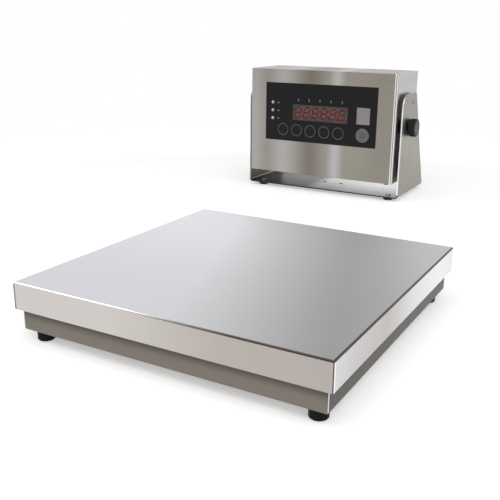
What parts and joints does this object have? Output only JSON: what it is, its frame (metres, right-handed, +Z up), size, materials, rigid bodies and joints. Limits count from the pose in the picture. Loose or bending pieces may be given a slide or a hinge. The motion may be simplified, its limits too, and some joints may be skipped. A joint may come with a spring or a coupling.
{
  "type": "platform scale",
  "caption": "Bench platform scale: square steel pan on a load cell and tube frame with screw feet, and a tilting digital indicator on its own bracket.",
  "frame": {"origin": "on the floor, in the middle of the footprint of both units together", "axes": "+Z up; +Y from the platform towards the indicator; +X to the right, seen from the front"},
  "size_m": [0.463, 0.8054, 0.1978],
  "materials": {
    "pan_steel": "brushed stainless steel, ground welds",
    "frame_steel": "brushed stainless tube",
    "case_steel": "brushed stainless sheet",
    "bracket_steel": "brushed stainless sheet",
    "hardware_steel": "plain stainless fasteners",
    "spider_steel": "grey powder coat",
    "cell_aluminium": "machined, clear anodised",
    "black_rubber": "moulded",
    "foot_black": "moulded, fine texture",
    "knob_black": "moulded",
    "gland_black": "moulded nylon",
    "overlay_black": "printed polyester sheet",
    "key_black": "embossed polyester, grey ring",
    "key_grey": "embossed polyester, grey",
    "window_clear": "clear filter",
    "display_grey": "digit block, red segments",
    "lamp_pale": "diffused lamp",
    "board_green": "solder mask",
    "standoff_brass": "nickel-free brass",
    "module_black": "potted block",
    "battery_grey": "moulded case",
    "level_glass": "vial with tinted liquid"
  },
  "bodies": {
    "base": {"base_frame": "frame_steel", "cross_beam": "frame_steel", "stop_screws": "hardware_steel", "stop_nuts": "hardware_steel", "foot_nuts": "hardware_steel", "level_holder": "cell_aluminium", "level_vial": "level_glass", "platform_gland": "gland_black", "platform_gland_nut": "gland_black", "cell_spacer_lower": "hardware_steel", "cell_bolts_lower": "hardware_steel", "load_cell": "cell_aluminium", "bracket": "bracket_steel", "bracket_feet": "black_rubber", "bracket_foot_screws": "hardware_steel"},
    "spider": {"platter_frame": "spider_steel", "pan_pads": "black_rubber", "cell_spacer_upper": "hardware_steel", "cell_bolts_upper": "hardware_steel"},
    "pan": {"platform_pan": "pan_steel"},
    "case": {"front_housing": "case_steel", "rear_cover": "case_steel", "case_gasket": "black_rubber", "cover_screws": "hardware_steel", "case_bumpers": "black_rubber", "overlay": "overlay_black", "display_window": "window_clear", "display_module": "display_grey", "status_lamps": "lamp_pale", "dome_switches": "hardware_steel", "display_board": "board_green", "board_standoffs": "standoff_brass", "board_screws": "hardware_steel", "main_board": "board_green", "main_standoffs": "standoff_brass", "power_module": "module_black", "battery_pack": "battery_grey", "battery_clamp": "hardware_steel", "case_glands": "gland_black", "case_gland_nuts": "gland_black", "side_bosses": "hardware_steel", "tilt_washers": "black_rubber"},
    "foot_stud_front_left": {"foot_stud_front_left": "hardware_steel"},
    "foot_front_left": {"foot_pad_front_left": "foot_black"},
    "foot_stud_front_right": {"foot_stud_front_right": "hardware_steel"},
    "foot_front_right": {"foot_pad_front_right": "foot_black"},
    "foot_stud_rear_left": {"foot_stud_rear_left": "hardware_steel"},
    "foot_rear_left": {"foot_pad_rear_left": "foot_black"},
    "foot_stud_rear_right": {"foot_stud_rear_right": "hardware_steel"},
    "foot_rear_right": {"foot_pad_rear_right": "foot_black"},
    "knob_stud_left": {"knob_stud_left": "hardware_steel"},
    "knob_left": {"knob_left": "knob_black"},
    "knob_stud_right": {"knob_stud_right": "hardware_steel"},
    "knob_right": {"knob_right": "knob_black"},
    "key_1": {"key_1": "key_black"},
    "key_2": {"key_2": "key_black"},
    "key_3": {"key_3": "key_black"},
    "key_4": {"key_4": "key_black"},
    "key_5": {"key_5": "key_black"},
    "power_key": {"power_key": "key_grey"}
  },
  "joints": [
    {"name": "cell_flex", "type": "slide", "parent": "base", "child": "spider", "axis": [0, 0, 1], "range_m": [-0.0005, 0], "stiffness_N_per_m": 1000000, "deforming": ["load_cell"]},
    {"name": "pan_lift", "type": "slide", "parent": "spider", "child": "pan", "axis": [0, 0, 1], "range_m": [0, 0.06]},
    {"name": "case_tilt", "type": "hinge", "parent": "base", "child": "case", "pos_m": [-0.08555, 0.30975, 0.1138], "axis": [1, 0, 0], "range_deg": [-90, 90]},
    {"name": "foot_front_left_travel", "type": "slide", "parent": "base", "child": "foot_stud_front_left", "axis": [0, 0, -1], "range_m": [0, 0.01]},
    {"name": "foot_front_left_turn", "type": "hinge", "parent": "foot_stud_front_left", "child": "foot_front_left", "pos_m": [-0.05105, -0.38525, 0], "axis": [0, 0, -1], "range_deg": [0, 3600]},
    {"name": "foot_front_right_travel", "type": "slide", "parent": "base", "child": "foot_stud_front_right", "axis": [0, 0, -1], "range_m": [0, 0.01]},
    {"name": "foot_front_right_turn", "type": "hinge", "parent": "foot_stud_front_right", "child": "foot_front_right", "pos_m": [0.21395, -0.38525, 0], "axis": [0, 0, -1], "range_deg": [0, 3600]},
    {"name": "foot_rear_left_travel", "type": "slide", "parent": "base", "child": "foot_stud_rear_left", "axis": [0, 0, -1], "range_m": [0, 0.01]},
    {"name": "foot_rear_left_turn", "type": "hinge", "parent": "foot_stud_rear_left", "child": "foot_rear_left", "pos_m": [-0.05105, -0.12025, 0], "axis": [0, 0, -1], "range_deg": [0, 3600]},
    {"name": "foot_rear_right_travel", "type": "slide", "parent": "base", "child": "foot_stud_rear_right", "axis": [0, 0, -1], "range_m": [0, 0.01]},
    {"name": "foot_rear_right_turn", "type": "hinge", "parent": "foot_stud_rear_right", "child": "foot_rear_right", "pos_m": [0.21395, -0.12025, 0], "axis": [0, 0, -1], "range_deg": [0, 3600]},
    {"name": "knob_left_travel", "type": "slide", "parent": "case", "child": "knob_stud_left", "axis": [-1, 0, 0], "range_m": [0, 0.002]},
    {"name": "knob_left_turn", "type": "hinge", "parent": "knob_stud_left", "child": "knob_left", "pos_m": [-0.21915, 0.30975, 0.1138], "axis": [-1, 0, 0], "range_deg": [0, 720]},
    {"name": "knob_right_travel", "type": "slide", "parent": "case", "child": "knob_stud_right", "axis": [1, 0, 0], "range_m": [0, 0.002]},
    {"name": "knob_right_turn", "type": "hinge", "parent": "knob_stud_right", "child": "knob_right", "pos_m": [0.04805, 0.30975, 0.1138], "axis": [1, 0, 0], "range_deg": [0, 720]},
    {"name": "key_1_press", "type": "slide", "parent": "case", "child": "key_1", "axis": [0, 1, 0], "range_m": [0, 0.0004], "stiffness_N_per_m": 7500},
    {"name": "key_2_press", "type": "slide", "parent": "case", "child": "key_2", "axis": [0, 1, 0], "range_m": [0, 0.0004], "stiffness_N_per_m": 7500},
    {"name": "key_3_press", "type": "slide", "parent": "case", "child": "key_3", "axis": [0, 1, 0], "range_m": [0, 0.0004], "stiffness_N_per_m": 7500},
    {"name": "key_4_press", "type": "slide", "parent": "case", "child": "key_4", "axis": [0, 1, 0], "range_m": [0, 0.0004], "stiffness_N_per_m": 7500},
    {"name": "key_5_press", "type": "slide", "parent": "case", "child": "key_5", "axis": [0, 1, 0], "range_m": [0, 0.0004], "stiffness_N_per_m": 7500},
    {"name": "power_key_press", "type": "slide", "parent": "case", "child": "power_key", "axis": [0, 1, 0], "range_m": [0, 0.0004], "stiffness_N_per_m": 7500}
  ],
  "couplings": [
    {"joint": "foot_front_left_turn", "follows": "foot_front_left_travel", "rad_per_m": 6283.2},
    {"joint": "foot_front_right_turn", "follows": "foot_front_right_travel", "rad_per_m": 6283.2},
    {"joint": "foot_rear_left_turn", "follows": "foot_rear_left_travel", "rad_per_m": 6283.2},
    {"joint": "foot_rear_right_turn", "follows": "foot_rear_right_travel", "rad_per_m": 6283.2},
    {"joint": "knob_left_turn", "follows": "knob_left_travel", "rad_per_m": 6283.2},
    {"joint": "knob_right_turn", "follows": "knob_right_travel", "rad_per_m": 6283.2}
  ]
}
